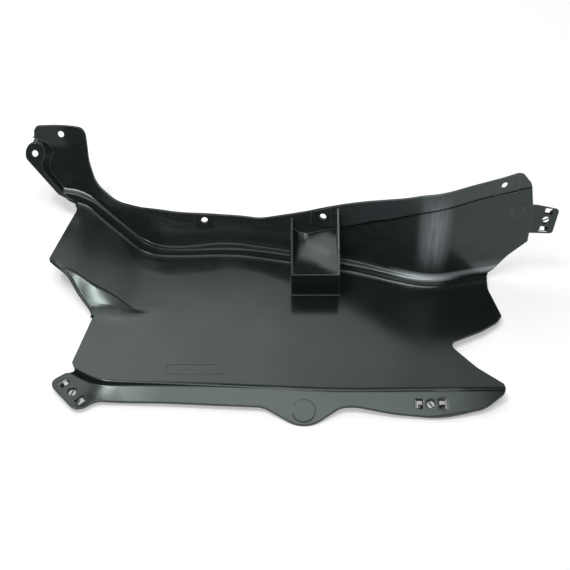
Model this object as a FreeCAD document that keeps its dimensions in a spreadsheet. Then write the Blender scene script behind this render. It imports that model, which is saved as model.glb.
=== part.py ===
import FreeCAD
import Part
import Sketcher
import math
import os
from FreeCAD import Placement, Rotation, Vector

# Engine splash shield: one thin moulded panel with three spring clip nuts.
# Frame: X runs along the length, the viewer stands on the -Y side, +Z is up.
# The panel is drawn with the top of its floor at z = 0, and is then turned by
# its rest tilt, so that it lies on its front lobe and its rear edge.

doc = FreeCAD.newDocument("engine_splash_shield")
sheet = doc.addObject("Spreadsheet::Sheet", "sizes")

# Driving sizes in millimetres and degrees.
SIZES = {
    "wall": 2.5,
    "rest_tilt": 3.56,
    "screw_hole": 9.0,
    "dent_blend": 14.0,
    "ridge_blend": 3.0,
    "fold_round": 4.0,
    "flange_turn": 0.6,
    "ledge_run": 0.35,
    "pad_step": 0.9,
    "box_left": 8.0,
    "box_right": 72.0,
    "box_front": -20.0,
    "box_lip": 35.5,
    "box_sag": 5.0,
    "ear_step": 11.0,
    "tongue_lean": 31.3,
    "disc_diameter": 28.0,
    "disc_rise": 0.8,
    "ring_diameter": 19.0,
    "label_length": 70.0,
    "label_height": 17.0,
    "label_groove": 1.2,
    "label_depth": 0.5,
    "window_width": 9.0,
    "window_height": 12.0,
    "window_pitch": 28.0,
    "window_pitch_left": 34.0,
    "clip_hole": 11.5,
    "clip_plate": 0.8,
    "clip_width": 14.0,
    "clip_end": 4.0,
    "clip_leg": 9.0,
    "clip_bar": 2.0,
    "clip_mouth": 8.0,
    "clip_gap": 0.3,
    "clip_hook": 1.6,
}

# How the section changes along X: pairs of a place along X and a value there.
# base: where the wall stands; lean: degrees back from upright; ramp: rise of
# the floor at the left; ridge and foot: top and bottom of the dent's slope;
# ledge and ledge_rise: depth and height of the step under the wall; fold: the
# front edge of the floor; step, step_run and slope: the strip in front of it;
# crease: height of the fold under the top flange; reach: height of the blank;
# bead: how softly the step's upper edge is rounded, as a share of its sides.
CURVES = {
    "base": [(-366, 164), (-290, 164), (-182, 67), (-75, 79), (80, 46), (192, 1), (340, 35)],
    "lean": [(-366, 33), (-290, 33), (-230, 24), (-180, 17), (-100, 16), (50, 11), (150, 7), (340, 7)],
    "ramp": [(-366, 30), (-300, 29), (-245, 15), (-190, 2), (-160, 0), (340, 0)],
    "ridge": [(-366, 45), (-184, -53), (-150, -40), (340, -40)],
    "foot": [(-366, -40), (-265, -47), (-215, -63), (340, -63)],
    "ledge": [(-366, 14), (-190, 14), (-148, 11), (-110, 16), (80, 16), (155, 12), (190, 9), (237, 6), (340, 5)],
    "ledge_rise": [(-366, 10), (-190, 10), (-148, 8), (-110, 9), (190, 9), (237, 6), (275, 3), (340, 3)],
    "bead": [(-366, 0.2), (-262, 0.15), (-150, 0.18), (-110, 0.36), (100, 0.4), (160, 0.5), (340, 0.45)],
    "fold": [(-366, -147), (-258, -147), (-232, -170), (-150, -175), (60, -187), (340, -184)],
    "step": [(-366, 4), (-258, 4), (-245, 5), (-232, 5), (-215, 4), (-150, 2.5), (50, 1.5), (340, 1.5)],
    "step_run": [(-366, 8), (-258, 8), (-232, 6), (-150, 3), (50, 2), (340, 2)],
    "slope": [(-366, 8), (-245, 8), (-205, 22), (340, 22)],
    "crease": [(-366, 97), (-260, 90), (-150, 38), (-40, 38), (60, 52), (126, 80), (200, 112), (340, 130)],
    "reach": [(-366, 140), (-260, 135), (-150, 90), (0, 90), (100, 125), (200, 170), (340, 180)],
}
ROUNDING = {"base": 30.0}
STATIONS = [
    -364, -340, -318, -290, -262, -240, -214, -185, -150, -105, -50, 20, 80, 130, 168, 192, 216, 250, 290, 314, 338,
]

row = 1
for alias, value in SIZES.items():
    sheet.set("A%d" % row, alias)
    sheet.set("B%d" % row, str(value))
    sheet.setAlias("B%d" % row, alias)
    row += 1
for name, knots in CURVES.items():
    for index, (place, value) in enumerate(knots):
        sheet.set("A%d" % row, "%s knot %d" % (name, index))
        sheet.set("B%d" % row, str(place))
        sheet.setAlias("B%d" % row, "%s_place_%d" % (name, index))
        sheet.set("C%d" % row, str(value))
        sheet.setAlias("C%d" % row, "%s_value_%d" % (name, index))
        row += 1
doc.recompute()


def size(alias):
    return float(sheet.get(alias))


def curve(name, x):
    """Value of a section curve at x, straight between knots and rounded at them."""
    count = len(CURVES[name])
    knots = [(size("%s_place_%d" % (name, i)), size("%s_value_%d" % (name, i))) for i in range(count)]
    width = ROUNDING.get(name, 14.0)
    for before, here, after in zip(knots, knots[1:], knots[2:]):
        if abs(x - here[0]) < width:
            rise_in = (here[1] - before[1]) / (here[0] - before[0])
            rise_out = (after[1] - here[1]) / (after[0] - here[0])
            bend = (rise_out - rise_in) * (x - here[0] + width) ** 2 / (4 * width)
            return here[1] + rise_in * (x - here[0]) + bend
    for (x0, y0), (x1, y1) in zip(knots, knots[1:]):
        if x0 <= x <= x1:
            return y0 + (y1 - y0) * (x - x0) / (x1 - x0)
    raise ValueError("%s has no value at x = %s" % (name, x))


WALL = size("wall")
BOTTOM = -80.0
TOP = 300.0
FRONT_EDGE = -250.0


def wall_y(x, z):
    """Y of the wall's visible face at a place along X and a height."""
    root = curve("ramp", x) + curve("ledge_rise", x) + 0.5
    lean = math.radians(curve("lean", x))
    crease = curve("crease", x)
    if z <= crease:
        return curve("base", x) + math.tan(lean) * (z - root)
    flange = math.tan(lean * size("flange_turn"))
    return curve("base", x) + math.tan(lean) * (crease - root) + flange * (z - crease)


def section_corners(x):
    """Corners of the visible side of the section, from the front edge to the top."""
    base = curve("base", x)
    ledge = curve("ledge", x)
    ramp = curve("ramp", x)
    upper = ramp + curve("ledge_rise", x)
    step = curve("step", x)
    fold = curve("fold", x)
    strip = fold - curve("step_run", x)
    slope = math.tan(math.radians(curve("slope", x)))
    crease = curve("crease", x)
    reach = curve("reach", x)
    return [
        Vector(x, FRONT_EDGE, -step - (strip - FRONT_EDGE) * slope),
        Vector(x, strip, -step),
        Vector(x, fold, 0),
        Vector(x, curve("foot", x), 0),
        Vector(x, curve("ridge", x), ramp),
        Vector(x, base - ledge, ramp),
        Vector(x, base - ledge * (1 - size("ledge_run")), upper),
        Vector(x, base, upper + 0.5),
        Vector(x, wall_y(x, crease), crease),
        Vector(x, wall_y(x, reach), reach),
    ]


def offset_corners(points, walls):
    """The same corners on the hidden side, a wall's thickness away."""
    lines = []
    for start, end, wall in zip(points, points[1:], walls):
        run = (end - start).normalize()
        lines.append((start + Vector(0, run.z, -run.y) * wall, run))
    moved = [lines[0][0]]
    for (p, run), (q, after) in zip(lines, lines[1:]):
        cross = run.y * after.z - run.z * after.y
        if abs(cross) < 1e-3:
            moved.append(q)
        else:
            gap = q - p
            moved.append(p + run * ((gap.y * after.z - gap.z * after.y) / cross))
    moved.append(lines[-1][0] + lines[-1][1] * (points[-1] - points[-2]).Length)
    return moved


def blended_edges(points, setbacks):
    """Straight runs with a smooth blend at each corner, set back before and after it."""
    edges = []
    start = points[0]
    for index, (before, after) in enumerate(setbacks, start=1):
        corner = points[index]
        enter = corner + (points[index - 1] - corner).normalize() * before
        leave = corner + (points[index + 1] - corner).normalize() * after
        edges.append(Part.LineSegment(start, enter).toShape())
        blend = Part.BezierCurve()
        blend.setPoles([enter, corner, leave])
        edges.append(blend.toShape())
        start = leave
    edges.append(Part.LineSegment(start, points[-1]).toShape())
    return edges


LEDGE_ROUNDED = 0.85
STEP_BLEND = 0.8
FOLD_BLEND = 1.2
CREASE_BLEND = 6.0
LEAST_BLEND = 0.4


def section(x):
    """Closed section of the moulding at one place along X."""
    points = section_corners(x)
    turn = math.atan((curve("base", x + 1) - curve("base", x - 1)) / 2)
    upright = WALL / math.cos(turn)
    back = offset_corners(points, [WALL] * 5 + [upright] * 4)
    dent = (points[4] - points[3]).Length
    riser = (points[6] - points[5]).Length
    shelf = (points[7] - points[6]).Length
    bead = curve("bead", x)
    rest = LEDGE_ROUNDED - bead
    setbacks = [
        (STEP_BLEND, STEP_BLEND),
        (FOLD_BLEND, size("fold_round")),
        (min(size("dent_blend"), 0.5 * dent),) * 2,
        (min(size("ridge_blend"), 0.2 * dent),) * 2,
        (rest * riser,) * 2,
        (bead * min(riser, shelf),) * 2,
        (rest * shelf,) * 2,
        (CREASE_BLEND, CREASE_BLEND),
    ]
    back_setbacks = []
    for index, pair in enumerate(setbacks, start=1):
        matched = []
        for setback, side in zip(pair, (-1, 1)):
            tangent = points[index] + (points[index + side] - points[index]).normalize() * setback
            along = (back[index + side] - back[index]).normalize()
            matched.append(max(LEAST_BLEND, (tangent - back[index]).dot(along)))
        back_setbacks.append(matched)
    edges = blended_edges(points, setbacks)
    edges.append(Part.LineSegment(points[-1], back[-1]).toShape())
    edges.extend(reversed(blended_edges(back, back_setbacks)))
    edges.append(Part.LineSegment(back[0], points[0]).toShape())
    return Part.Wire(edges)


def rounded_face(corners, place):
    """Flat face from corners (u, v, radius); place turns (u, v) into a point."""
    edges = []
    points = [Vector(u, v, 0) for u, v, radius in corners]
    ends = []
    for index, (u, v, radius) in enumerate(corners):
        here = points[index]
        before = (points[index - 1] - here).normalize()
        after = (points[(index + 1) % len(points)] - here).normalize()
        if radius <= 0:
            ends.append((here, None, here))
            continue
        half = before.getAngle(after) / 2
        reach = radius / math.tan(half)
        middle = (before + after).normalize() * (radius / math.sin(half) - radius)
        ends.append((here + before * reach, here + middle, here + after * reach))
    for index, (enter, middle, leave) in enumerate(ends):
        if middle is not None:
            edges.append(Part.Arc(place(enter), place(middle), place(leave)).toShape())
        following = ends[(index + 1) % len(ends)][0]
        edges.append(Part.LineSegment(place(leave), place(following)).toShape())
    return Part.Face(Part.Wire(edges))


def plan(point):
    return Vector(point.x, point.y, BOTTOM)


def front(y):
    return lambda point: Vector(point.x, y, point.y)


def feature(name, shape):
    holder = doc.addObject("Part::Feature", name)
    holder.Shape = shape
    return holder


# The moulded wall before trimming: strip, floor, ramp, dent, ledge, wall, flange.
skin = feature("moulded_wall", Part.makeLoft([section(x) for x in STATIONS], True, False))

# Outline seen from above: left clip tab, strip, lobe, driveshaft notch, left edge.
PLAN_OUTLINE = [
    (-256, -155, 2), (-268, -156, 5), (-287, -169.5, 9), (-248, -210.5, 14), (-226, -195, 22),
    (-146, -197.5, 400), (-26, -204.3, 35), (23.3, -232.2, 38), (66.6, -206, 25), (84, -205.5, 60),
    (128, -213.5, 200), (185, -218.5, 140), (238, -207, 40), (265, -188, 10),
    (263, -177, 3), (235, -151, 60), (205, -110, 10), (250, -88, 60), (273, -72, 20),
    (281, -60, 4), (271.5, -8, 30), (274, 16, 0), (345, 16, 0), (345, 320, 0), (-380, 320, 0),
    (-380, 136, 0), (-299, 136, 0), (-298, 128, 0), (-316.5, 20, 4), (-309, 12, 8), (-290, -2, 25),
    (-271, -28, 40), (-252, -48, 12), (-248.5, -60, 6), (-262, -142, 4),
]
plan_prism = feature("plan_outline", rounded_face(PLAN_OUTLINE, plan).extrude(Vector(0, 0, TOP - BOTTOM)))

# Outline seen from the front: everything above the top edge and past the ends.
TOP_OUTLINE = [
    (-380, 102.5, 0), (-360, 102.5, 3), (-359, 118.5, 9), (-284.5, 118.5, 11), (-282, 78, 50),
    (-271, 51, 22), (-238, 42.5, 50), (-176, 62, 80), (-84, 50.5, 200), (-34, 50.5, 60),
    (28, 71, 150), (150, 120, 150), (176, 131, 60), (225, 141, 200), (280, 148.5, 150), (302, 153, 14),
    (318, 133, 20), (325.5, 95, 40), (325.5, BOTTOM, 0), (400, BOTTOM, 0), (400, TOP, 0), (-380, TOP, 0),
]
TONGUE_FOOT = [
    (-298, BOTTOM, 0), (-298, 27, 0), (-310, 31.5, 4), (-320, 39, 10), (-341, 62, 10), (-342, 73, 8),
    (-335.8, 85.5, 5), (-341.5, 93.8, 8), (-348.5, 98, 8), (-361, 102.5, 0), (-380, 102.5, 0),
    (-380, BOTTOM, 0),
]
WALL_FOOT = [
    (274, BOTTOM, 0), (274, 3.5, 0), (282, 8, 5), (300, 27.5, 30), (325.6, 46, 2), (400, 46, 0),
    (400, BOTTOM, 0),
]
above = rounded_face(TOP_OUTLINE, front(-300)).extrude(Vector(0, 700, 0))
left_foot = rounded_face(TONGUE_FOOT, front(118)).extrude(Vector(0, 300, 0))
right_foot = rounded_face(WALL_FOOT, front(8)).extrude(Vector(0, 300, 0))

# Box on the wall: side ribs, front wall and a sagging top; open behind and below.
BOX_LEFT = size("box_left")
BOX_RIGHT = size("box_right")
BOX_FRONT = size("box_front")
BOX_LIP = size("box_lip")
BOX_BACK = 110.0
LEFT_RIB_TOP = 58.0
RIGHT_RIB_TOP = 84.0
BOX_SINK = 0.5


def box_rib(x, rise):
    """One side wall of the box: from the lip up to the wall, then down inside the wall and ledge."""
    base = curve("base", x)
    ledge = curve("ledge", x)
    upper = curve("ledge_rise", x)
    inside = WALL * 0.5
    corners = [
        (BOX_FRONT, -WALL), (BOX_FRONT, BOX_LIP), (wall_y(x, rise), rise), (base + inside, upper),
        (base - ledge * (1 - size("ledge_run")) + inside, upper - inside), (base - ledge + inside, -inside),
        (base - ledge, -WALL),
    ]
    points = [Vector(x, y, z) for y, z in corners]
    return Part.Face(Part.makePolygon(points + points[:1])).extrude(Vector(WALL, 0, 0))


def box_top(x, rise):
    """Section of the sagging top between the lip and the wall."""
    start = Vector(x, BOX_FRONT, BOX_LIP)
    end = Vector(x, wall_y(x, rise) + WALL, rise)
    middle = (start + end) * 0.5 - Vector(0, 0, 2 * size("box_sag"))
    upper = Part.BezierCurve()
    upper.setPoles([start, middle, end])
    lower = Part.BezierCurve()
    down = Vector(0, 0, -WALL)
    lower.setPoles([end + down, middle + down, start + down])
    sides = [Part.LineSegment(end, end + down).toShape(), Part.LineSegment(start + down, start).toShape()]
    return Part.Wire([upper.toShape(), sides[0], lower.toShape(), sides[1]])


BOX_RISES = [
    (BOX_LEFT + 1, 50.0), (BOX_LEFT + 10, 40.0), (BOX_LEFT + 16, 39.0),
    ((BOX_LEFT + BOX_RIGHT) / 2, 43.0), (BOX_RIGHT - 1, 55.0),
]
box_hollow = Part.makeBox(
    BOX_RIGHT - BOX_LEFT - 2 * WALL, BOX_BACK - BOX_FRONT - WALL, BOX_LIP - BOX_SINK + 2 * WALL,
    Vector(BOX_LEFT + WALL, BOX_FRONT + WALL, -2 * WALL),
)
box_walls = [
    box_rib(BOX_LEFT, LEFT_RIB_TOP),
    box_rib(BOX_RIGHT - WALL, RIGHT_RIB_TOP),
    Part.makeBox(BOX_RIGHT - BOX_LEFT, WALL, BOX_LIP + WALL - 2 * BOX_SINK, Vector(BOX_LEFT, BOX_FRONT, -WALL)),
    Part.makeLoft([box_top(x, rise) for x, rise in BOX_RISES], True, False),
]

# Ear beside the tongue, set forward on a slanting joggle.
TONGUE_LEAN = math.radians(size("tongue_lean"))
TONGUE_NORMAL = Vector(0, -math.cos(TONGUE_LEAN), math.sin(TONGUE_LEAN))
TONGUE_X = -321.0
TONGUE_Z = 94.2
EAR_POINT = Vector(TONGUE_X, wall_y(TONGUE_X, TONGUE_Z), TONGUE_Z) + TONGUE_NORMAL * size("ear_step")


def on_ear(x, z):
    """Point of the ear's leaning plane at a place along X and a height."""
    return Vector(x, EAR_POINT.y + (z - EAR_POINT.z) * math.tan(TONGUE_LEAN), z)


EAR_OUTLINE = [
    (-371, 101, 13), (-371, 82.5, 9), (-327, 38.5, 10), (-304.5, 28.5, 6), (-298.5, 19, 0),
    (-294.5, 22, 0), (-296.5, 31, 0), (-311.5, 32.7, 5), (-321.2, 40, 8), (-347.3, 67.5, 10),
    (-348.3, 76, 6), (-343.4, 87, 5), (-344.5, 101, 10),
]
EAR_REACH = 80.0
ear_slab = Part.makeBox(2 * EAR_REACH, WALL, 2 * EAR_REACH, Vector(-EAR_REACH, 0, -EAR_REACH))
ear_slab.Placement = Placement(EAR_POINT, Rotation(Vector(1, 0, 0), -size("tongue_lean")))
ear = ear_slab.common(rounded_face(EAR_OUTLINE, front(0)).extrude(Vector(0, 300, 0)))
JOGGLE = [
    ((-364.1, 96.2), (-358.8, 102.7)), ((-356.8, 99.5), (-353.5, 101.1)), ((-349, 98), (-347.3, 98)),
    ((-344.3, 93.8), (-339.6, 92.9)), ((-343.9, 86.5), (-333.9, 84)), ((-348.8, 75.6), (-340.2, 70.9)),
    ((-347.8, 67.1), (-338.8, 61.3)), ((-335.2, 52.2), (-329.1, 50.3)), ((-321.5, 39.5), (-318.4, 39.3)),
    ((-311.8, 32.2), (-309, 32.7)), ((-298.5, 26), (-296, 28.3)),
]
JOGGLE_SUNK = 0.7
JOGGLE_WALL = 1.8


def joggle_band(near, far):
    """Section of the slanting step between the ear's plane and the tongue's face."""
    start = on_ear(near[0], near[1])
    end = Vector(far[0], wall_y(far[0], far[1]), far[1])
    drop = (start - end).dot(TONGUE_NORMAL)
    level = (end - start) + TONGUE_NORMAL * drop
    width = level.Length
    level.normalize()
    start -= (TONGUE_NORMAL + level) * JOGGLE_SUNK
    end -= (TONGUE_NORMAL - level) * JOGGLE_SUNK
    inward = TONGUE_NORMAL * width + level * drop
    back = inward.normalize() * JOGGLE_WALL
    points = [start, end, end - back, start - back]
    return Part.makePolygon(points + points[:1])


joggle = Part.makeLoft([joggle_band(near, far) for near, far in JOGGLE], True, True)


def wall_frame(x, z):
    """Placement on the wall's visible face: its own Z points out of the face."""
    here = Vector(x, wall_y(x, z), z)
    along = Vector(2, wall_y(x + 1, z) - wall_y(x - 1, z), 0).normalize()
    up = Vector(0, wall_y(x, z + 1) - wall_y(x, z - 1), 2).normalize()
    out = along.cross(up).normalize()
    return Placement(here, Rotation(along, out.cross(along), out, "ZXY"))


def strip_frame(x, y):
    """Placement on the visible face of the strip in front of the floor."""
    strip = curve("fold", x) - curve("step_run", x)
    slope = curve("slope", x)
    z = -curve("step", x) - (strip - y) * math.tan(math.radians(slope))
    return Placement(Vector(x, y, z), Rotation(Vector(1, 0, 0), slope))


def drilled(frame, diameter):
    """Cylinder through the wall at a frame."""
    tool = Part.makeCylinder(diameter / 2, 12 * WALL, Vector(0, 0, -6 * WALL))
    tool.Placement = frame
    return tool


# Raised pads at the flange screws, with their screw holes.
PADS = [(-111.2, 45.1, -125.0, -98.0), (51.3, 68.4, 35.0, 62.0), (280.3, 137.7, 268.0, 300.0)]
PAD_BELOW = 14.0
PAD_HEIGHT = 30.0
PAD_SUNK = 1.2
TONGUE_SCREW = (-321.3, 107.1)
EAR_SCREW = (-357.5, 88.4)
pads = []
for x, z, start, end in PADS:
    corner = Vector(start - x, -PAD_BELOW, -PAD_SUNK)
    pad = Part.makeBox(end - start, PAD_HEIGHT, size("pad_step") + PAD_SUNK, corner)
    pad.Placement = wall_frame(x, z)
    pads.append(pad)
hole_frames = [wall_frame(x, z) for x, z, start, end in PADS]
hole_frames.append(wall_frame(TONGUE_SCREW[0], TONGUE_SCREW[1]))
hole_frames.append(Placement(on_ear(EAR_SCREW[0], EAR_SCREW[1]), Rotation(Vector(0, 0, 1), TONGUE_NORMAL)))
holes = [drilled(frame, size("screw_hole")) for frame in hole_frames]

# Raised disc on the lobe and a faint ring on the right wall.
DISC_PLACE = (22.0, -210.0)
RING_PLACE = (304.6, 95.0)
RING_LINE = 1.2
RING_RISE = 0.5
MARK_SUNK = 1.0
disc = Part.makeCylinder(size("disc_diameter") / 2, size("disc_rise") + MARK_SUNK, Vector(0, 0, -MARK_SUNK))
disc.Placement = strip_frame(DISC_PLACE[0], DISC_PLACE[1])
ring = Part.makeCylinder(size("ring_diameter") / 2, RING_RISE + MARK_SUNK, Vector(0, 0, -MARK_SUNK))
ring = ring.cut(Part.makeCylinder(size("ring_diameter") / 2 - RING_LINE, 4 * MARK_SUNK, Vector(0, 0, -2 * MARK_SUNK)))
ring.Placement = wall_frame(RING_PLACE[0], RING_PLACE[1])

# Rolled rim along the left edge, from the corner of the ramp down past the dent.
RIM_RADIUS = 2.3
RIM_KNOB = 2.7
RIM_ROUTE = [
    (-312.5, 17), (-306.5, 11), (-289.5, -2.5), (-271, -27), (-260, -40), (-252.5, -50), (-249.8, -60),
]


def floor_z(x, y):
    """Height of the floor, the dent's slope or the ramp at a place in plan."""
    ridge = curve("ridge", x)
    foot = curve("foot", x)
    share = (y - foot) / (ridge - foot)
    return curve("ramp", x) * min(1.0, max(0.0, share))


rim_points = [Vector(x, y, floor_z(x, y) - RIM_RADIUS / 2) for x, y in RIM_ROUTE]
rim_line = Part.BSplineCurve()
rim_line.interpolate(rim_points)
rim_wire = Part.Wire([rim_line.toShape()])
rim_start = rim_line.tangent(rim_line.FirstParameter)[0]
rim_round = Part.Wire([Part.makeCircle(RIM_RADIUS, rim_points[0], rim_start)])
rim = [rim_wire.makePipe(Part.Face(rim_round))]
rim += [Part.makeSphere(RIM_KNOB, rim_points[end]) for end in (0, -1)]

# Bare label frame: two long grooves and two short ones in the floor.
LABEL_X = -145.0
LABEL_Y = -161.0
GROOVE = size("label_groove")
LABEL_CLEAR = 3.0
label_outer = Part.makeBox(
    size("label_length"), size("label_height"), LABEL_CLEAR,
    Vector(LABEL_X, LABEL_Y, -size("label_depth")),
)
label_inner = Part.makeBox(
    size("label_length") - 2 * GROOVE, size("label_height") - 2 * GROOVE, 2 * LABEL_CLEAR,
    Vector(LABEL_X + GROOVE, LABEL_Y + GROOVE, -LABEL_CLEAR),
)
label = label_outer.cut(label_inner)

# Tab at the right end, folded out of the wall's edge.
END_TAB_LEFT = 322.5
END_TAB_MIDDLE = 79.0
END_TAB_BEHIND = 1.4
END_TAB_LEAN = 8.0
end_tab_y = wall_y(END_TAB_LEFT, END_TAB_MIDDLE) + END_TAB_BEHIND
END_TAB = Placement(
    Vector(END_TAB_LEFT, end_tab_y, END_TAB_MIDDLE), Rotation(Vector(1, 0, 0), 90 - END_TAB_LEAN),
)
END_TAB_CORNERS = [(0, -20.5, 0), (34, -21.5, 4), (38, 14.5, 4), (8, 21, 3), (0, 21, 0)]
end_tab = rounded_face(END_TAB_CORNERS, lambda point: point).extrude(Vector(0, 0, -WALL))
end_tab.Placement = END_TAB


SEAT_DEPTH = 3.0
SEAT_SPARE = 1.0


def clip_windows(frame, pitch):
    """Two square windows, a round hole and a flat seat under the wall for one clip nut."""
    tools = [Part.makeCylinder(size("clip_hole") / 2, 8 * WALL, Vector(0, 0, -4 * WALL))]
    for side in (-1, 1):
        corner = Vector(side * pitch / 2 - size("window_width") / 2, -size("window_height") / 2, -4 * WALL)
        tools.append(Part.makeBox(size("window_width"), size("window_height"), 8 * WALL, corner))
    half = pitch / 2 + size("window_width") / 2 + size("clip_end") + SEAT_SPARE
    width = size("clip_width") + 2 * SEAT_SPARE
    tools.append(Part.makeBox(2 * half, width, SEAT_DEPTH, Vector(-half, -width / 2, -WALL - SEAT_DEPTH)))
    for tool in tools:
        tool.Placement = frame
    return tools


def turned_frame(frame, u, v, turn):
    """The frame moved by u and v in its own plane and turned about its own Z."""
    return frame.multiply(Placement(Vector(u, v, 0), Rotation(Vector(0, 0, 1), turn)))


LEFT_CLIP = (-256.0, -182.8)
FRONT_CLIP = (173.1, -202.5)
CLIPS = [
    ("clip_nut_left", turned_frame(strip_frame(LEFT_CLIP[0], LEFT_CLIP[1]), 0, 0, -46.6), "window_pitch_left"),
    ("clip_nut_front", strip_frame(FRONT_CLIP[0], FRONT_CLIP[1]), "window_pitch"),
    ("clip_nut_right", turned_frame(END_TAB, 23.0, -1.5, 83.0), "window_pitch"),
]

blank = doc.addObject("Part::MultiFuse", "padded_wall")
blank.Shapes = [skin] + [feature("pad_%d" % i, pad) for i, pad in enumerate(pads)]
trimmed = doc.addObject("Part::Common", "trimmed_wall")
trimmed.Base = blank
trimmed.Tool = plan_prism
waste = doc.addObject("Part::MultiFuse", "waste")
waste.Shapes = [feature("waste_%d" % i, s) for i, s in enumerate([above, left_foot, right_foot, box_hollow])]
open_wall = doc.addObject("Part::Cut", "open_wall")
open_wall.Base = trimmed
open_wall.Tool = waste
additions = box_walls + [ear, joggle, disc, ring, end_tab] + rim
joined = doc.addObject("Part::MultiFuse", "joined")
joined.Shapes = [open_wall] + [feature("addition_%d" % i, s) for i, s in enumerate(additions)]
cuts = holes + [label]
for name, frame, pitch in CLIPS:
    cuts += clip_windows(frame, size(pitch))
openings = doc.addObject("Part::MultiFuse", "openings")
openings.Shapes = [feature("opening_%d" % i, s) for i, s in enumerate(cuts)]
shield = doc.addObject("Part::Cut", "splash_shield")
shield.Base = joined
shield.Tool = openings
doc.recompute()

# Rest: turned about X until the lobe and the rear edge both touch the ground,
# with the origin under the middle of the panel.
turned = Rotation(Vector(1, 0, 0), -size("rest_tilt"))
lying = shield.Shape.copy()
lying.Placement = Placement(Vector(), turned)
extent = lying.optimalBoundingBox(False)
REST = Placement(Vector(-extent.Center.x, -extent.Center.y, -extent.ZMin), turned)
shield.Placement = REST
doc.recompute()
nodes = [shield]


def rectangle(sketch, left, bottom, right, top):
    """Rectangle whose four sides are held by expressions of the sheet's sizes."""
    values = [sketch.evalExpression(text) for text in (left, bottom, right, top)]
    x0, y0, x1, y1 = [float(value) for value in values]
    corners = [Vector(x0, y0, 0), Vector(x1, y0, 0), Vector(x1, y1, 0), Vector(x0, y1, 0)]
    first = sketch.GeometryCount
    for start, end in zip(corners, corners[1:] + corners[:1]):
        sketch.addGeometry(Part.LineSegment(start, end))
    for side in range(4):
        sketch.addConstraint(Sketcher.Constraint("Coincident", first + side, 2, first + (side + 1) % 4, 1))
    for side in (0, 2):
        sketch.addConstraint(Sketcher.Constraint("Horizontal", first + side))
    for side in (1, 3):
        sketch.addConstraint(Sketcher.Constraint("Vertical", first + side))
    places = [("DistanceX", 0, 1, x0, left), ("DistanceY", 0, 1, y0, bottom),
              ("DistanceX", 2, 1, x1, right), ("DistanceY", 2, 1, y1, top)]
    for kind, side, end, value, text in places:
        index = sketch.addConstraint(Sketcher.Constraint(kind, -1, 1, first + side, end, value))
        sketch.setExpression("Constraints[%d]" % index, text)


def clip_sketch(body, name):
    plane = [item for item in body.Origin.OriginFeatures if item.Role == "XY_Plane"][0]
    sketch = body.newObject("Sketcher::SketchObject", name)
    sketch.AttachmentSupport = [(plane, "")]
    sketch.MapMode = "FlatFace"
    return sketch


def clip_nut(label, frame, pitch):
    """Spring clip nut: a plate under the tab, hooked legs in the windows, a split centre."""
    body = doc.addObject("PartDesign::Body", label)
    outer = "sizes.%s / 2 + sizes.window_width / 2 - sizes.clip_gap" % pitch
    inner = "sizes.%s / 2 - sizes.window_width / 2 + sizes.clip_gap" % pitch
    half_width = "sizes.clip_width / 2"
    half_leg = "sizes.clip_leg / 2"

    plate = clip_sketch(body, label + "_plate")
    end = "%s + sizes.clip_end" % outer
    rectangle(plate, "-(%s)" % end, "-" + half_width, end, half_width)
    pad = body.newObject("PartDesign::Pad", label + "_plate_pad")
    pad.Profile = plate
    pad.setExpression("Length", "sizes.clip_plate")
    pad.Reversed = True

    slots = clip_sketch(body, label + "_slots")
    slot_end = "%s - sizes.clip_plate - sizes.clip_gap" % outer
    rectangle(slots, inner, "-" + half_leg, slot_end, half_leg)
    rectangle(slots, "-(%s)" % slot_end, "-" + half_leg, "-(%s)" % inner, half_leg)
    rectangle(slots, "sizes.clip_bar / 2", "-sizes.clip_mouth / 2", "sizes.clip_mouth / 2", "sizes.clip_mouth / 2")
    rectangle(slots, "-sizes.clip_mouth / 2", "-sizes.clip_mouth / 2", "-sizes.clip_bar / 2", "sizes.clip_mouth / 2")
    pocket = body.newObject("PartDesign::Pocket", label + "_slots_pocket")
    pocket.Profile = slots
    pocket.Type = 1

    legs = clip_sketch(body, label + "_legs")
    rectangle(legs, "%s - sizes.clip_plate" % outer, "-" + half_leg, outer, half_leg)
    rectangle(legs, "-(%s)" % outer, "-" + half_leg, "-(%s) + sizes.clip_plate" % outer, half_leg)
    rise = body.newObject("PartDesign::Pad", label + "_legs_pad")
    rise.Profile = legs
    rise.setExpression("Length", "sizes.wall + sizes.clip_gap + sizes.clip_plate")

    hooks = clip_sketch(body, label + "_hooks")
    rectangle(hooks, "%s - sizes.clip_plate" % outer, "-" + half_leg, "%s + sizes.clip_hook" % outer, half_leg)
    rectangle(hooks, "-(%s) - sizes.clip_hook" % outer, "-" + half_leg, "-(%s) + sizes.clip_plate" % outer, half_leg)
    hooks.setExpression("AttachmentOffset.Base.z", "sizes.wall + sizes.clip_gap")
    hook = body.newObject("PartDesign::Pad", label + "_hooks_pad")
    hook.Profile = hooks
    hook.setExpression("Length", "sizes.clip_plate")
    doc.recompute()
    body.Placement = REST.multiply(frame.multiply(Placement(Vector(0, 0, -WALL), Rotation())))
    return body


for name, frame, pitch in CLIPS:
    nodes.append(clip_nut(name, frame, pitch))
doc.recompute()

for item in doc.Objects:
    if "Invalid" in item.State or "Error" in item.State:
        raise RuntimeError("%s failed: %s" % (item.Name, item.State))
for node in nodes:
    if node.Shape.isNull() or not node.Shape.isValid():
        raise RuntimeError("%s has no valid shape" % node.Label)

print("rest", [round(c, 5) for c in REST.Base], round(size("rest_tilt"), 3))
for name, hole in zip(["rear_left", "rear_middle", "rear_right", "tongue", "ear"], holes):
    centre = REST.multVec(hole.Placement.Base)
    axis = REST.Rotation.multVec(hole.Placement.Rotation.multVec(Vector(0, 0, 1)))
    print("hole", name, [round(c, 3) for c in centre], [round(c, 5) for c in axis])

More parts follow.
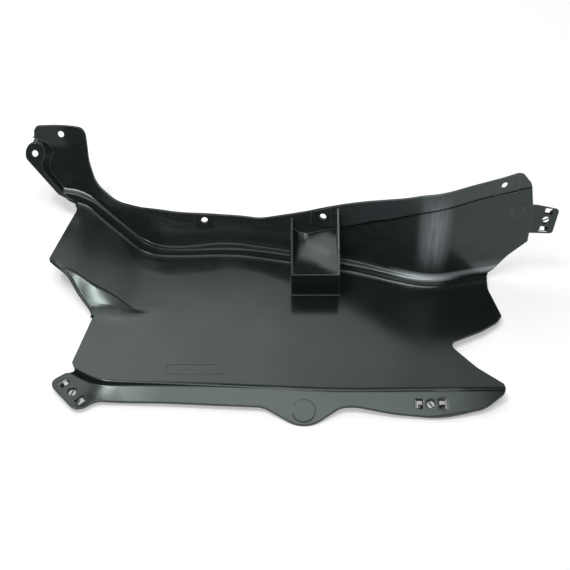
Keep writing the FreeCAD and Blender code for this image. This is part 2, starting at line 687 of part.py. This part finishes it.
os.makedirs("parts", exist_ok=True)
for node in nodes:
    box = node.Shape.optimalBoundingBox(False)
    print(node.Label, "solids", len(node.Shape.Solids), "volume", round(node.Shape.Volume), box)
    node.Shape.exportStep("parts/%s.step" % node.Label)
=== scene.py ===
import math

import bpy
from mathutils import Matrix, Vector


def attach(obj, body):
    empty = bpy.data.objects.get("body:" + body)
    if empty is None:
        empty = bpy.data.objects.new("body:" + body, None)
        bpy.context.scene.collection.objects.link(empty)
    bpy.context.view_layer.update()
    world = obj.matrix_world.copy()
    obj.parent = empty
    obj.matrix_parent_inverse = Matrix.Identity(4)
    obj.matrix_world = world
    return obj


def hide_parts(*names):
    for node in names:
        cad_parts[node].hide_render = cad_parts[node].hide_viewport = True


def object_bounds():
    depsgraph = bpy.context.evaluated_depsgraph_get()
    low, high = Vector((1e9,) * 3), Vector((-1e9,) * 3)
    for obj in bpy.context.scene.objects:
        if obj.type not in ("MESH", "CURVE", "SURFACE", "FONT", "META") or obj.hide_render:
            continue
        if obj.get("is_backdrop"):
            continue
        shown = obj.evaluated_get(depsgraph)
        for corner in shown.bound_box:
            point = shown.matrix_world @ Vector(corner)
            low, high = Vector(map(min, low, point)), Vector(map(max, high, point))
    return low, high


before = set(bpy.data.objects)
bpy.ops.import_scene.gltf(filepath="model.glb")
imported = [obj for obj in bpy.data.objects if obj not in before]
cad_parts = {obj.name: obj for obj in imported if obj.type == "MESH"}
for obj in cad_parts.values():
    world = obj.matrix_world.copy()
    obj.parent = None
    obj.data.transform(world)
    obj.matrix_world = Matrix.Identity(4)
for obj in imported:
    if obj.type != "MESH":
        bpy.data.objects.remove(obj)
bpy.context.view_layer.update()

# The table the shield lies on and its white backdrop: a plain pale sheet that is
# as bright as paper where the camera and the gloss see it, and keeps the shadow.
bpy.ops.object.select_all(action="DESELECT")
bpy.ops.mesh.primitive_plane_add(size=12, location=(0, 0, 0))
table = bpy.context.object
table.name = "table"
paper = bpy.data.materials.new("white_paper")
paper.use_nodes = True
nodes = paper.node_tree.nodes
links = paper.node_tree.links
nodes.clear()
surface = nodes.new("ShaderNodeOutputMaterial")
diffuse = nodes.new("ShaderNodeBsdfDiffuse")
diffuse.inputs["Color"].default_value = (0.82, 0.82, 0.82, 1)
glow = nodes.new("ShaderNodeEmission")
glow.inputs["Color"].default_value = (1, 1, 1, 1)
glow.inputs["Strength"].default_value = 0.42
both = nodes.new("ShaderNodeAddShader")
seen = nodes.new("ShaderNodeLightPath")
either = nodes.new("ShaderNodeMath")
either.operation = "MAXIMUM"
choose = nodes.new("ShaderNodeMixShader")
links.new(seen.outputs["Is Camera Ray"], either.inputs[0])
links.new(seen.outputs["Is Glossy Ray"], either.inputs[1])
links.new(diffuse.outputs[0], both.inputs[0])
links.new(glow.outputs[0], both.inputs[1])
links.new(either.outputs[0], choose.inputs[0])
links.new(diffuse.outputs[0], choose.inputs[1])
links.new(both.outputs[0], choose.inputs[2])
links.new(choose.outputs[0], surface.inputs["Surface"])
table.data.materials.append(paper)
table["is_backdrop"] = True


# The moulded panel: black polypropylene, glossy where the tool was polished, with a
# fine grain, slow waves, wiped dust, scuffed edges and a hazy drawn patch on the wall,
# and painted light: painted highlights on that patch and on the ledge's crest, a painted
# shade line in the fold under the flange, a painted lighter flange and a painted sheen on
# upright faces.
def noise(tree, vector, scale, detail):
    """Noise from 0 to 1 over the surface."""
    texture = tree.nodes.new("ShaderNodeTexNoise")
    texture.inputs["Scale"].default_value = scale
    texture.inputs["Detail"].default_value = detail
    tree.links.new(vector, texture.inputs["Vector"])
    return texture.outputs["Fac"]


def streaks_along(tree, vector, stretch):
    """Noise drawn out into streaks: the smaller a stretch, the longer they are that way."""
    mapping = tree.nodes.new("ShaderNodeMapping")
    mapping.inputs["Scale"].default_value = stretch
    tree.links.new(vector, mapping.inputs["Vector"])
    return noise(tree, mapping.outputs["Vector"], 1, 3)


def remap(tree, value, start, stop, low=0.0, high=1.0, eased=False):
    """Value that runs from low to high while another runs from start to stop."""
    step = tree.nodes.new("ShaderNodeMapRange")
    if eased:
        step.interpolation_type = "SMOOTHSTEP"
    step.inputs["From Min"].default_value = start
    step.inputs["From Max"].default_value = stop
    step.inputs["To Min"].default_value = low
    step.inputs["To Max"].default_value = high
    tree.links.new(value, step.inputs["Value"])
    return step.outputs["Result"]


def reckon(tree, operation, *values, clamped=False):
    """Result of a sum on values that are sockets or plain numbers."""
    step = tree.nodes.new("ShaderNodeMath")
    step.operation = operation
    step.use_clamp = clamped
    for socket, value in zip(step.inputs, values):
        if isinstance(value, (int, float)):
            socket.default_value = value
        else:
            tree.links.new(value, socket)
    return step.outputs["Value"]


def hump(tree, value, shoulder):
    """Eased hump: 0 where the value is 0 or 1, and 1 past the shoulder."""
    return remap(tree, reckon(tree, "PINGPONG", value, 0.5), 0, shoulder, eased=True)


def blend(tree, amount, first, second):
    """Colour between two colours, each a socket or a plain colour."""
    mix = tree.nodes.new("ShaderNodeMix")
    mix.data_type = "RGBA"
    factor, colours, result = mix.inputs[0], mix.inputs[6:8], mix.outputs[2]
    tree.links.new(amount, factor)
    for socket, colour in zip(colours, (first, second)):
        if isinstance(colour, tuple):
            socket.default_value = (*colour, 1)
        else:
            tree.links.new(colour, socket)
    return result


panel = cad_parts["splash_shield"]
black = bpy.data.materials.new("black_moulding")
black.use_nodes = True
tree = black.node_tree
gloss = tree.nodes["Principled BSDF"]
gloss.inputs["IOR"].default_value = 1.5
gloss.inputs["Specular Tint"].default_value = (0.84, 1, 0.95, 1)
place = tree.nodes.new("ShaderNodeTexCoord").outputs["Object"]
axes = tree.nodes.new("ShaderNodeSeparateXYZ")
tree.links.new(place, axes.inputs["Vector"])
along_x, along_y, height = axes.outputs
facing = tree.nodes.new("ShaderNodeNewGeometry").outputs["Normal"]
lean = tree.nodes.new("ShaderNodeSeparateXYZ")
tree.links.new(facing, lean.inputs["Vector"])
grain = noise(tree, place, 900, 2)
waves = noise(tree, place, 22, 1)
sheen = noise(tree, place, 14, 4)
haze_streaks = streaks_along(tree, place, (150, 60, 14))
flow_lines = streaks_along(tree, place, (7, 120, 150))

# Haze on the bend of the right wall, with a painted highlight where the bend catches light: an
# upright oval cloud broken into streaks.
bend_hump = hump(tree, remap(tree, along_x, 0.174, 0.226), 0.42)
rise_hump = hump(tree, remap(tree, height, 0.012, 0.15), 0.42)
cloud = reckon(tree, "MULTIPLY", bend_hump, rise_hump)
bend_haze_highlight = reckon(tree, "MULTIPLY", cloud, remap(tree, haze_streaks, 0.3, 0.7, 0.45))

# Painted highlight on the crest of the ledge's bend at the right: a pale band beside the wall,
# in place of a reflection.
painted_crest_highlight = hump(tree, remap(tree, height, 0.011, 0.022), 0.4)
for mask in (remap(tree, along_x, 0.145, 0.18), remap(tree, along_y, -0.012, 0.004)):
    painted_crest_highlight = reckon(tree, "MULTIPLY", painted_crest_highlight, mask)

# The fold under the top flange: a painted shade line that follows the fold's height along
# the wall, and painted light on the flange above it, paler, both only at the right.
fold_height = tree.nodes.new("ShaderNodeFloatCurve")
heights = [
    (0.0, 0.196), (0.443, 0.196), (0.594, 0.272), (0.688, 0.418), (0.794, 0.585), (1.0, 0.665),
]
points = fold_height.mapping.curves[0].points
points[0].location = heights[0]
points[1].location = heights[-1]
for across, up in heights[1:-1]:
    points.new(across, up)
fold_height.mapping.update()
tree.links.new(remap(tree, along_x, -0.35, 0.35), fold_height.inputs["Value"])
over_fold = reckon(tree, "MULTIPLY_ADD", fold_height.outputs["Value"], -0.2, height)
off_fold = reckon(tree, "ABSOLUTE", over_fold)
at_right = remap(tree, along_x, 0.05, 0.11)
fold_shade_line = reckon(tree, "MULTIPLY", remap(tree, off_fold, 0.0017, 0.0004, eased=True), at_right)
lit_flange = reckon(tree, "MULTIPLY", remap(tree, over_fold, 0, 0.003, 0, 0.7), at_right)

# Rounded edges for the relief, softest on the bend of the right wall and along the
# ledge, and the same rounding read as wear: pale edges, but not on the ledge.
low = remap(tree, height, 0.032, 0.024)
back = remap(tree, along_y, 0, 0.03)
ledge = reckon(tree, "MULTIPLY", low, back)
radius = reckon(tree, "MULTIPLY_ADD", bend_hump, 0.003, 0.0018)
radius = reckon(tree, "MULTIPLY_ADD", ledge, 0.0024, radius)
edge = tree.nodes.new("ShaderNodeBevel")
edge.samples = 8
tree.links.new(radius, edge.inputs["Radius"])
agree = tree.nodes.new("ShaderNodeVectorMath")
agree.operation = "DOT_PRODUCT"
tree.links.new(edge.outputs["Normal"], agree.inputs[0])
tree.links.new(facing, agree.inputs[1])
wear = remap(tree, agree.outputs["Value"], 0.995, 0.8, 0, 0.85)
wear = reckon(tree, "MULTIPLY_ADD", ledge, -0.85, wear, clamped=True)

# Colour: near black with a greenish cast, a painted sheen that makes upright faces paler, with
# lengthwise flow lines on them, pale in the haze with its painted highlight, a painted highlight
# on the ledge's crest, painted shade in the fold, painted light on the flange, and scuffed along
# every edge.
# Painted sheen: upright faces paler than level ones, as where they catch light, streaked with
# flow lines.
upright = remap(tree, reckon(tree, "ABSOLUTE", lean.outputs["Z"]), 0.85, 0.3)
upright_sheen_and_flow = reckon(tree, "MULTIPLY", upright, remap(tree, flow_lines, 0.3, 0.7, 0.55))
colour = blend(tree, sheen, (0.007, 0.0088, 0.0086), (0.015, 0.0180, 0.0175))
# Pale colour: the haze with its painted highlight on the wall's bend, and the painted highlight
# on the ledge's crest.
pale_haze_and_highlights = reckon(tree, "MAXIMUM", bend_haze_highlight, painted_crest_highlight)
for amount, finish in (
    (upright_sheen_and_flow, (0.036, 0.045, 0.045)),
    (lit_flange, (0.085, 0.098, 0.105)),
    (pale_haze_and_highlights, (0.46, 0.50, 0.53)),
    (fold_shade_line, (0.002, 0.003, 0.003)),
    (wear, (0.24, 0.265, 0.275)),
):
    colour = blend(tree, amount, colour, finish)
tree.links.new(colour, gloss.inputs["Base Color"])

# Sheen by place: etched dull on the ledge at the left and beside the wall, polished
# on the bend of the ledge at the right, dull in the painted shade line of the fold and in the
# haze.
etched = reckon(tree, "MULTIPLY", remap(tree, along_x, -0.12, -0.17), back)
etched = reckon(tree, "MULTIPLY", etched, remap(tree, lean.outputs["X"], -0.05, -0.2))
polished = reckon(tree, "MULTIPLY", low, remap(tree, along_x, 0.12, 0.16))
polished = reckon(tree, "MULTIPLY", polished, remap(tree, along_y, -0.012, -0.004))
beside_wall = reckon(tree, "MULTIPLY", low, remap(tree, along_y, 0.025, 0.06))
level = reckon(tree, "MULTIPLY_ADD", etched, -0.38, 0.5)
level = reckon(tree, "MULTIPLY_ADD", polished, 0.5, level)
level = reckon(tree, "MULTIPLY_ADD", beside_wall, -0.26, level)
level = reckon(tree, "MULTIPLY_ADD", fold_shade_line, -0.45, level, clamped=True)
tree.links.new(level, gloss.inputs["Specular IOR Level"])
uneven = remap(tree, sheen, 0.35, 0.65, 0.16, 0.22)
tree.links.new(reckon(tree, "MULTIPLY_ADD", bend_haze_highlight, 0.25, uneven), gloss.inputs["Roughness"])

# Relief: the rounded edges, then slow waves, then the fine grain.
normal = edge.outputs["Normal"]
for pattern, strength, depth in ((waves, 0.25, 0.0004), (grain, 0.05, 0.0002)):
    relief = tree.nodes.new("ShaderNodeBump")
    relief.inputs["Strength"].default_value = strength
    relief.inputs["Distance"].default_value = depth
    tree.links.new(normal, relief.inputs["Normal"])
    tree.links.new(pattern, relief.inputs["Height"])
    normal = relief.outputs["Normal"]
tree.links.new(normal, gloss.inputs["Normal"])
panel.data.materials.clear()
panel.data.materials.append(black)

# The three spring clip nuts: pressed spring steel with a dark phosphate finish, each
# pushed under a tab so that its two barbed legs rise into the tab's windows.
steel = bpy.data.materials.new("phosphated_steel")
steel.use_nodes = True
tree = steel.node_tree
dark = tree.nodes["Principled BSDF"]
dark.inputs["Metallic"].default_value = 0.8
speckle = noise(tree, tree.nodes.new("ShaderNodeTexCoord").outputs["Object"], 1100, 3)
tone = blend(tree, speckle, (0.022, 0.024, 0.027), (0.075, 0.078, 0.085))
tree.links.new(tone, dark.inputs["Base Color"])
tree.links.new(remap(tree, speckle, 0, 1, 0.34, 0.52), dark.inputs["Roughness"])
pits = tree.nodes.new("ShaderNodeBump")
pits.inputs["Strength"].default_value = 0.1
pits.inputs["Distance"].default_value = 0.0001
tree.links.new(speckle, pits.inputs["Height"])
tree.links.new(pits.outputs["Normal"], dark.inputs["Normal"])


def flat_part(size, place, turn=(0, 0, 0), rounded=0.0):
    """Flat steel part of a size at a place, turned and with rounded edges."""
    bpy.ops.object.select_all(action="DESELECT")
    bpy.ops.mesh.primitive_cube_add(size=1, location=place, rotation=turn)
    part = bpy.context.object
    part.scale = size
    bpy.ops.object.transform_apply(location=False, rotation=False, scale=True)
    if rounded:
        edges = part.modifiers.new("rounded", "BEVEL")
        edges.width = rounded
        edges.segments = 2
        bpy.ops.object.modifier_apply(modifier="rounded")
    return part


def pierce(plate, punch):
    """Cut the punch's shape out of the plate and take the punch away."""
    cut = plate.modifiers.new("pierced", "BOOLEAN")
    cut.object = punch
    cut.solver = "EXACT"
    bpy.context.view_layer.objects.active = plate
    bpy.ops.object.modifier_apply(modifier="pierced")
    bpy.data.objects.remove(punch)


def spring_nut(name, half_pitch, place, turn):
    """Spring nut: a pierced plate, a slanting thread bar and two barbed legs."""
    plate_length = 2 * half_pitch + 0.0072
    middle = -0.0004
    spring = 0.0007
    leg_width = 0.0042
    leg_side = -0.003
    plate = flat_part((plate_length, 0.0126, 0.0008), (0, 0, middle), rounded=0.00025)
    for side in (-1, 1):
        slot_place = (side * (half_pitch - 0.0004), 0, 0)
        pierce(plate, flat_part((0.0064, 0.0088, 0.004), slot_place))
    bpy.ops.object.select_all(action="DESELECT")
    bpy.ops.mesh.primitive_cylinder_add(vertices=40, radius=0.0044, depth=0.004)
    pierce(plate, bpy.context.object)
    parts = [flat_part((0.0017, 0.0094, spring), (0, 0, middle), (0, 0, 0.55), 0.0002)]
    for side in (-1, 1):
        root = side * (half_pitch - 0.0036)
        leg = (root + side * 0.0014, leg_side, 0.0014)
        barb = (root + side * 0.0041, leg_side, 0.0028)
        leg_turn = (0, -side * 0.72, 0)
        barb_turn = (0, side * 0.25, 0)
        parts.append(flat_part((0.0042, leg_width, spring), leg, leg_turn, 0.0002))
        parts.append(flat_part((0.0032, leg_width, spring), barb, barb_turn, 0.0002))
    bpy.ops.object.select_all(action="DESELECT")
    for part in parts + [plate]:
        part.select_set(True)
    bpy.context.view_layer.objects.active = plate
    bpy.ops.object.join()
    plate.name = name
    plate.location = place
    plate.rotation_mode = "QUATERNION"
    plate.rotation_quaternion = turn
    bpy.ops.object.transform_apply(location=True, rotation=True, scale=True)
    bpy.ops.object.shade_flat()
    plate.data.materials.clear()
    plate.data.materials.append(steel)
    return plate


nut_places = [
    ("left", 0.017, (-0.25056, -0.17831, 0.00722), (0.91774, 0.03603, 0.01552, -0.39524)),
    ("front", 0.014, (0.17854, -0.19736, 0.00889), (0.98708, 0.16023, 0.0, 0.0)),
    ("right", 0.014, (0.35094, 0.05304, 0.0804), (0.58023, 0.47356, -0.41897, 0.51335)),
]
for side, half_pitch, place, turn in nut_places:
    nut = spring_nut("spring_nut_" + side, half_pitch, place, turn)
    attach(nut, "root")
    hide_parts("clip_nut_" + side)

# The room: dim, and white only where the camera looks past the table.
world = bpy.data.worlds.new("studio_room")
bpy.context.scene.world = world
world.use_nodes = True
nodes = world.node_tree.nodes
links = world.node_tree.links
room = nodes["Background"]
room.inputs["Strength"].default_value = 0.25
white = nodes.new("ShaderNodeBackground")
white.inputs["Strength"].default_value = 1
choose = nodes.new("ShaderNodeMixShader")
seen = nodes.new("ShaderNodeLightPath")
links.new(seen.outputs["Is Camera Ray"], choose.inputs[0])
links.new(room.outputs[0], choose.inputs[1])
links.new(white.outputs[0], choose.inputs[2])
links.new(choose.outputs[0], nodes["World Output"].inputs["Surface"])


# Studio lamps: a strong one high at the left for the dent and the ledge, three above
# and one behind at the left for the strip and the wall's foot, a faint fill from the
# front, and a long screen behind the table, brighter at its left, for the floor.
def soft_box(name, place, aim, across, up, radiance):
    """Soft rectangular lamp at a place, facing a point."""
    lamp = bpy.data.lights.new(name, "AREA")
    lamp.shape = "RECTANGLE"
    lamp.size = across
    lamp.size_y = up
    lamp.energy = radiance * across * up * math.pi
    holder = bpy.data.objects.new(name, lamp)
    bpy.context.collection.objects.link(holder)
    holder.location = place
    holder.rotation_mode = "QUATERNION"
    holder.rotation_quaternion = (Vector(place) - Vector(aim)).to_track_quat("Z", "Y")


soft_box("left_box", (-1.35, 0.1, 3.7), (0, 0, 0), 0.9, 0.45, 29)
soft_box("overhead_box", (0.05, -0.2, 2.3), (0.05, -0.2, 0), 1.3, 0.6, 4.2)
soft_box("rear_overhead_box", (0.05, 0.38, 2.25), (0.05, 0, 0), 1.3, 0.4, 3)
soft_box("front_overhead_box", (-0.25, -0.8, 2.2), (0, 0, 0), 0.5, 0.35, 7)
soft_box("left_rear_box", (-0.85, 1.0, 2.0), (-0.25, -0.18, 0), 0.9, 0.6, 2.4)
soft_box("front_fill", (0, -2.4, 0.9), (0, 0, 0), 3.2, 1.2, 0.6)
screen = [
    (-1.8, -0.4, 2.5),
    (-0.4, 0.05, 2.15),
    (0.05, 0.45, 1.7),
    (0.45, 0.95, 1.05),
    (0.95, 1.7, 0.6),
]
screen_height = 0.76
for index, (left, right, radiance) in enumerate(screen):
    middle = (left + right) / 2
    name = "back_screen_%d" % index
    soft_box(name, (middle, 1.64, 1.76), (middle, 0, 0), right - left, screen_height, radiance)

# Camera: in front of the panel and above it, at the photograph's angle.
look_down = 45.56
lens = bpy.data.cameras.new("camera")
lens.lens = 57.4
lens.sensor_width = 36
camera = bpy.data.objects.new("camera", lens)
bpy.context.collection.objects.link(camera)
camera.location = (0.00544, -0.85192, 0.87927)
camera.rotation_euler = (math.radians(90 - look_down), 0, 0)
bpy.context.scene.camera = camera
bpy.context.scene.view_settings.view_transform = "Standard"

low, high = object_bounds()
